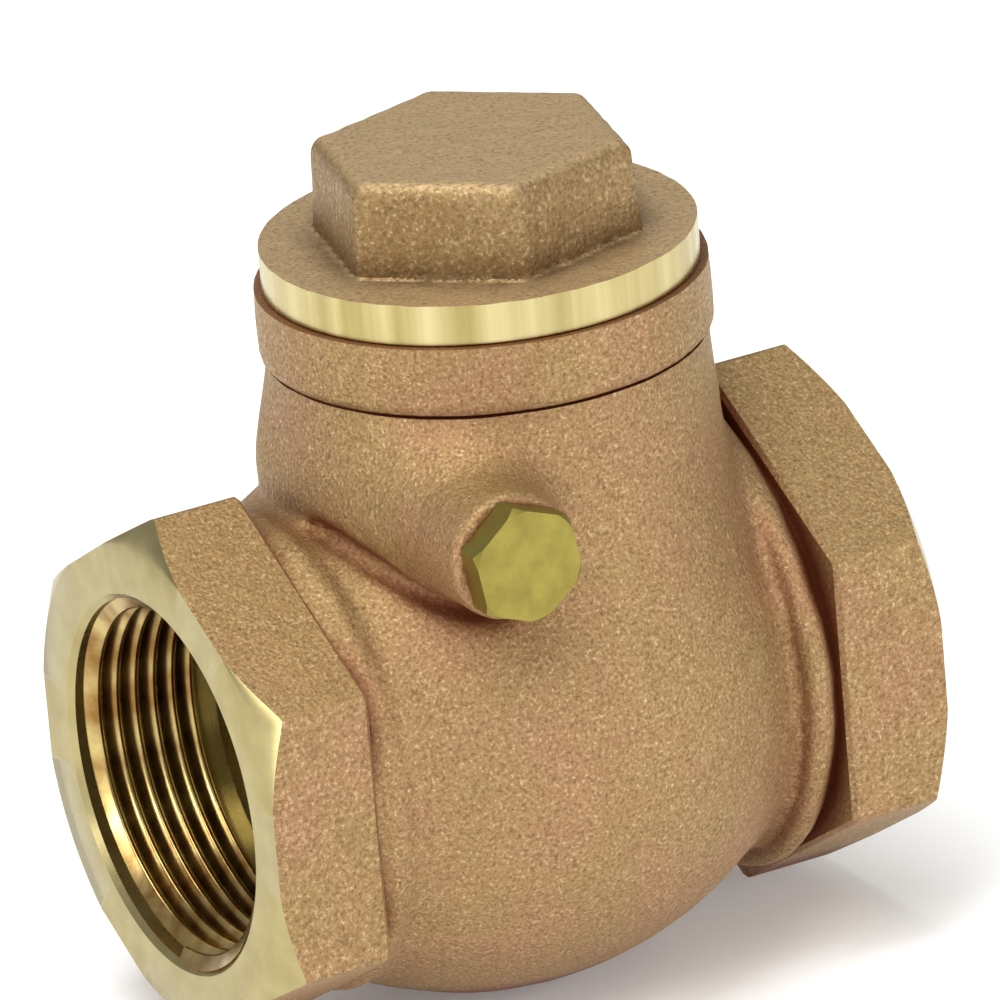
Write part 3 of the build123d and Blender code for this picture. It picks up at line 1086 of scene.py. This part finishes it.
@dataclass
class ScrewedCap:
    """The cap: a cast flange and hexagon, with the flange's rim and the threaded skirt turned. Sizes are in mm."""

    datum: Datum
    finishes: Finishes
    stock: float = 2.0
    grid: float = 0.55
    skin: SandSkin = field(default_factory=lambda: SandSkin(height=0.035, lengths=(2.2, 9.0), seed=11))

    flange_radius: float = 24.1
    flange_height: float = 4.7
    flange_half: float = 6.0
    flange_edge: float = 0.3
    rim_edge: float = 0.2
    hex_bottom_flats: float = 32.6
    hex_top_flats: float = 31.4
    hex_turn: float = 16.5
    hex_corner: float = 1.4
    hex_edge: float = 1.8
    hex_root: float = 3.0
    hex_blend: float = 0.4
    crown: float = 0.15
    top_rise: float = 0.8
    skirt_radius: float = 21.4
    skirt_length: float = 8.6
    skirt_edge: float = 0.8
    hollow_radius: float = 17.6
    hollow_top: float = 2.3

    def outside(self, p: Points) -> np.ndarray:
        """Distance to the cap's casting: the flange's stock and a drafted, crowned hexagon.

        Args:
            p: points in mm.

        Returns:
            The signed distance, below 0 in the metal.
        """
        d = self.datum
        x, y, z = p[..., 0] - d.cap_x, p[..., 1], p[..., 2]
        turn = math.radians(self.hex_turn)
        u, v = -x * math.sin(turn) + y * math.cos(turn), x * math.cos(turn) + y * math.sin(turn)
        flange_top = d.body_top + self.flange_height
        top = d.cap_top + self.top_rise
        share = np.clip((z - flange_top) / (top - flange_top), 0, 1)
        flats = self.hex_bottom_flats + (self.hex_top_flats - self.hex_bottom_flats) * share
        section = hexagon_field(u, v, flats, self.hex_corner)
        dome = self.crown * (x**2 + y**2) / (self.hex_top_flats / 2) ** 2
        head = rounded_pair(section, z + dome - top, self.hex_edge)
        head = np.maximum(head, flange_top - self.hex_root - z)
        half = self.flange_half
        rim = np.hypot(x, y) - self.flange_radius - self.stock
        flange = rounded_pair(rim, np.abs(z - flange_top + half) - half, self.flange_edge)
        return smooth_union(head, flange, self.hex_blend) + self.skin(p)

    def build(self) -> Object:
        """Cast the cap, turn it, and put it in the CAD cap's place.

        Returns:
            The finished cap.
        """
        f, d = self.finishes, self.datum
        axis = about((d.cap_x, 0, 0), (0, 0, 1))
        reach = self.flange_radius + 4
        low = (d.cap_x - reach, -reach, d.body_top - 9)
        high = (d.cap_x + reach, reach, d.cap_top + 4)
        corners, quads = field_mesh(self.outside, low, high, self.grid)
        piece = piece_from("screwed_cap", corners, quads, [f.cap_casting])
        bottom = d.body_top - self.skirt_length
        rim = solid_profile(
            (bottom, self.skirt_radius - self.skirt_edge),
            (bottom + self.skirt_edge, self.skirt_radius),
            (d.body_top, self.skirt_radius),
            (d.body_top, self.flange_radius - self.rim_edge),
            (d.body_top + self.rim_edge, self.flange_radius),
            (d.cap_top + 9, self.flange_radius),
        )
        machine(piece, turned("rim_tool", rim, f.cap_turned, axis, 256), Cut.KEEP_INSIDE)
        hollow = solid_profile(
            (bottom - CLEAR, self.hollow_radius), (d.body_top + self.hollow_top, self.hollow_radius)
        )
        machine(piece, turned("hollow_tool", hollow, f.cap_turned, axis), Cut.REMOVE)
        smooth_by_angle(piece)
        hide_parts("cap")
        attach(piece, "valve_body")
        LOG.info("cap: %d faces", len(piece.data.polygons))
        return piece


# --- screw threads


@dataclass
class ScrewThread:
    """One pipe thread's ridge, wound inside a bore, with its ends run out to nothing. Sizes are in mm.

    The outline is the ridge's section, as shares of the pitch along and of the height inward.
    """

    name: str
    body: str
    slot: str
    material: Material
    wall_radius: float
    end: Matrix
    start: float = 1.15
    length: float = 15.2
    pitch: float = 2.309
    ridge_height: float = 1.48
    fade_from: float = 0.43
    tip_scale: float = 0.02
    steps_per_turn: int = 96
    outline: tuple[tuple[float, float], ...] = (
        (-0.5, -0.05), (-0.14, 0.9), (-0.07, 1.0), (0.07, 1.0), (0.14, 0.9), (0.5, -0.05)
    )

    def tree(self) -> NodeTree:
        """Build the winding tree: a spiral that carries a ridge's section, thinned at both ends.

        Returns:
            The geometry node tree, with its sizes as named inputs.
        """
        tree = bpy.data.node_groups.new("screw_thread", "GeometryNodeTree")
        for name in ("Wall Radius", "Ridge Height", "Pitch", "Length"):
            tree.interface.new_socket(name, in_out="INPUT", socket_type="NodeSocketFloat")
        tree.interface.new_socket("Steps", in_out="INPUT", socket_type="NodeSocketInt")
        tree.interface.new_socket("Finish", in_out="INPUT", socket_type="NodeSocketMaterial")
        tree.interface.new_socket("Geometry", in_out="OUTPUT", socket_type="NodeSocketGeometry")
        sizes = tree.nodes.new("NodeGroupInput").outputs
        turns = add_node(tree, "ShaderNodeMath", {0: sizes["Length"], 1: sizes["Pitch"]}, operation="DIVIDE")
        spiral = add_node(
            tree,
            "GeometryNodeCurveSpiral",
            {
                "Resolution": sizes["Steps"],
                "Rotations": turns,
                "Start Radius": sizes["Wall Radius"],
                "End Radius": sizes["Wall Radius"],
                "Height": sizes["Length"],
            },
        )
        upright = add_node(tree, "GeometryNodeSetCurveNormal", {"Curve": spiral}, mode="Z_UP")
        along = add_node(tree, "GeometryNodeSplineParameter").outputs["Factor"]
        from_middle = add_node(tree, "ShaderNodeMath", {0: along, 1: 0.5}, operation="SUBTRACT")
        distance = add_node(tree, "ShaderNodeMath", {0: from_middle}, operation="ABSOLUTE")
        fade = add_node(
            tree,
            "ShaderNodeMapRange",
            {"Value": distance, "From Min": 0.5, "From Max": self.fade_from, "To Min": self.tip_scale, "To Max": 1.0},
        )
        sized = add_node(tree, "GeometryNodeSetCurveRadius", {"Curve": upright, "Radius": fade})
        section = self.section(tree, sizes)
        swept = add_node(
            tree, "GeometryNodeCurveToMesh", {"Curve": sized, "Profile Curve": section, "Fill Caps": True}
        )
        finished = add_node(tree, "GeometryNodeSetMaterial", {"Geometry": swept, "Material": sizes["Finish"]})
        realised = add_node(tree, "GeometryNodeRealizeInstances", {"Geometry": finished})
        add_node(tree, "NodeGroupOutput", {0: realised})
        return tree

    def section(self, tree: NodeTree, sizes: Any) -> Node:
        """The ridge's section as a closed curve, scaled by the pitch and the height.

        Args:
            tree: the tree it belongs to.
            sizes: the group's inputs.

        Returns:
            The node that gives the closed section.
        """
        count = len(self.outline)
        line = add_node(tree, "GeometryNodeMeshLine", {"Count": count}, mode="OFFSET", count_mode="TOTAL")
        number = add_node(tree, "GeometryNodeInputIndex")
        scaled = []
        for shares, size in zip(zip(*self.outline), ("Pitch", "Ridge Height")):
            pick = add_node(tree, "GeometryNodeIndexSwitch", {"Index": number}, data_type="FLOAT")
            while len(pick.index_switch_items) < count:
                pick.index_switch_items.new()
            for i, share in enumerate(shares):
                pick.inputs[str(i)].default_value = share
            scaled.append(add_node(tree, "ShaderNodeMath", {0: pick, 1: sizes[size]}, operation="MULTIPLY"))
        width, height = scaled
        point = add_node(tree, "ShaderNodeCombineXYZ", {"X": height, "Y": width})
        shaped = add_node(tree, "GeometryNodeSetPosition", {"Geometry": line, "Position": point})
        curve = add_node(tree, "GeometryNodeMeshToCurve", {"Mesh": shaped})
        return add_node(tree, "GeometryNodeSetSplineCyclic", {"Geometry": curve, "Cyclic": True})

    def build(self) -> Object:
        """Wind the thread, lay it on its axis and let it ride.

        Returns:
            The thread's ridge.
        """
        tree = self.tree()
        holder = put_in_scene(self.name, bpy.data.meshes.new(self.name))
        winding = holder.modifiers.new("winding", "NODES")
        winding.node_group = tree
        values = {
            "Wall Radius": self.wall_radius * MM,
            "Ridge Height": self.ridge_height * MM,
            "Pitch": self.pitch * MM,
            "Length": self.length * MM,
            "Steps": self.steps_per_turn,
            "Finish": self.material,
        }
        for socket in tree.interface.items_tree:
            if socket.in_out == "INPUT":
                winding[socket.identifier] = values[socket.name]
        seen = bpy.context.evaluated_depsgraph_get()
        mesh = bpy.data.meshes.new_from_object(holder.evaluated_get(seen))
        holder.modifiers.clear()
        mesh.transform(self.end @ about((self.start, 0, 0), (1, 0, 0)) @ Matrix.Rotation(math.pi / 2, 4, "Y"))
        holder.data = mesh
        smooth_by_angle(holder, 50)
        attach(holder, self.body)
        LOG.info("%s: %d faces", self.name, len(mesh.polygons))
        return holder


# --- studio


@dataclass(frozen=True)
class SoftLamp:
    """A square soft lamp: where it hangs, how wide it is and how strong, in metres and watts."""

    name: str
    place: tuple[float, float, float]
    size: float
    power: float

    def hang(self, target: Vector) -> None:
        """Hang the lamp, facing the target.

        Args:
            target: the point that it faces.
        """
        lamp = bpy.data.lights.new(self.name, "AREA")
        lamp.size = self.size
        lamp.energy = self.power
        holder = put_in_scene(self.name, lamp)
        holder.location = self.place
        holder.rotation_euler = (target - Vector(self.place)).to_track_quat("-Z", "Y").to_euler()


@dataclass
class Studio:
    """A pale floor, soft light and the camera. Sizes are in metres, and angles in degrees."""

    datum: Datum
    azimuth: float = -27.482
    elevation: float = 21.135
    roll: float = -4.998
    distance: float = 1.635
    lens: float = 532.99
    sensor: float = 36.0
    sight: float = 50.0
    aim: tuple[float, float] = (0.00054, 0.02096)
    floor_reach: float = 6.0
    floor_gap: float = 0.0002
    floor_glow: float = 0.12
    sky: float = 0.45
    lamp_target: tuple[float, float, float] = (0.042, 0, 0.01)
    lamps: tuple[SoftLamp, ...] = (
        SoftLamp("right", (0.8, -1.3, 0.45), 0.8, 9.0),
        SoftLamp("front", (-0.75, -0.65, 1.15), 0.6, 7.0),
        SoftLamp("inlet", (-1.25, -0.05, 0.25), 0.5, 5.0),
        SoftLamp("top", (-0.2, -0.1, 1.4), 0.8, 14.0),
    )

    def floor(self) -> None:
        """Lay the floor just under the belly: matt white paper, lifted a little so that it stays pale."""
        reach, height = self.floor_reach, CAD_BOX[0][2] - self.floor_gap
        corners = [(x * reach, y * reach, height) for x, y in ((-1, -1), (1, -1), (1, 1), (-1, 1))]
        mesh = bpy.data.meshes.new("floor")
        mesh.from_pydata(corners, [], [(0, 1, 2, 3)])
        floor = put_in_scene("floor", mesh)
        material, _, shader = blank_material("matt_white_paper")
        glow = {"Emission Color": (1, 1, 1, 1), "Emission Strength": self.floor_glow}
        feed(shader, {"Base Color": linear("FBFBFA"), "Roughness": 0.9, **glow})
        mesh.materials.append(material)

    def light(self) -> None:
        """Hang the soft lamps and set the pale surroundings."""
        world = bpy.data.worlds.new("studio")
        bpy.context.scene.world = world
        world.use_nodes = True
        backdrop = world.node_tree.nodes["Background"]
        backdrop.inputs[0].default_value = (1, 1, 1, 1)
        backdrop.inputs[1].default_value = self.sky
        bpy.context.scene.view_settings.view_transform = "Standard"
        for lamp in self.lamps:
            lamp.hang(Vector(self.lamp_target))

    def camera(self) -> None:
        """Set the camera up at a long lens, looking down at the inlet side."""
        az, el, roll = (math.radians(a) for a in (self.azimuth, self.elevation, self.roll))
        back = Vector((math.sin(az) * math.cos(el), -math.cos(az) * math.cos(el), math.sin(el)))
        right = Vector((math.cos(az), math.sin(az), 0))
        up = back.cross(right)
        side = right * math.cos(roll) + up * math.sin(roll)
        top = up * math.cos(roll) - right * math.sin(roll)
        middle = Vector((self.datum.length / 2 * MM, 0, 0))
        eye = middle + back * self.distance + side * self.aim[0] + top * self.aim[1]
        lens = bpy.data.cameras.new("camera")
        lens.lens = self.lens
        lens.sensor_width = self.sensor
        lens.clip_end = self.sight
        camera = put_in_scene("camera", lens)
        turn = Matrix((side, top, back)).transposed().to_4x4()
        camera.matrix_world = Matrix.Translation(eye) @ turn
        bpy.context.scene.camera = camera


def main() -> None:
    """Build every sub-assembly in order."""
    logging.basicConfig(level=logging.INFO, format="%(name)s: %(message)s")
    datum = Datum.read()
    finishes = Finishes.mix()
    studio = Studio(datum)
    studio.camera()
    studio.light()
    studio.floor()
    body = BodyCasting(datum, finishes)
    body.build()
    ScrewedCap(datum, finishes).build()
    for name, at_outlet in (("inlet_thread", False), ("outlet_thread", True)):
        end = datum.end(at_outlet)
        ScrewThread(name, "valve_body", "machined_brass", finishes.tapped, body.thread_radius, end).build()
    looks = {
        finishes.ptfe: ("cap_gasket",),
        finishes.steel: ("hinge_pin", "nut_cotter"),
        finishes.plug_brass: ("side_plug",),
        finishes.casting: ("hanger",),
        finishes.flow_turned: ("disc_holder", "facing_retainer"),
        finishes.nitrile: ("disc_facing",),
        finishes.milled_brass: ("retainer_screw", "disc_washer", "disc_nut"),
    }
    for material, nodes in looks.items():
        for node in nodes:
            materials = frame["nodes"][node].data.materials
            materials.clear()
            materials.append(material)
            LOG.info("%s: %s", node, material.name)


if __name__ == "__main__":
    main()
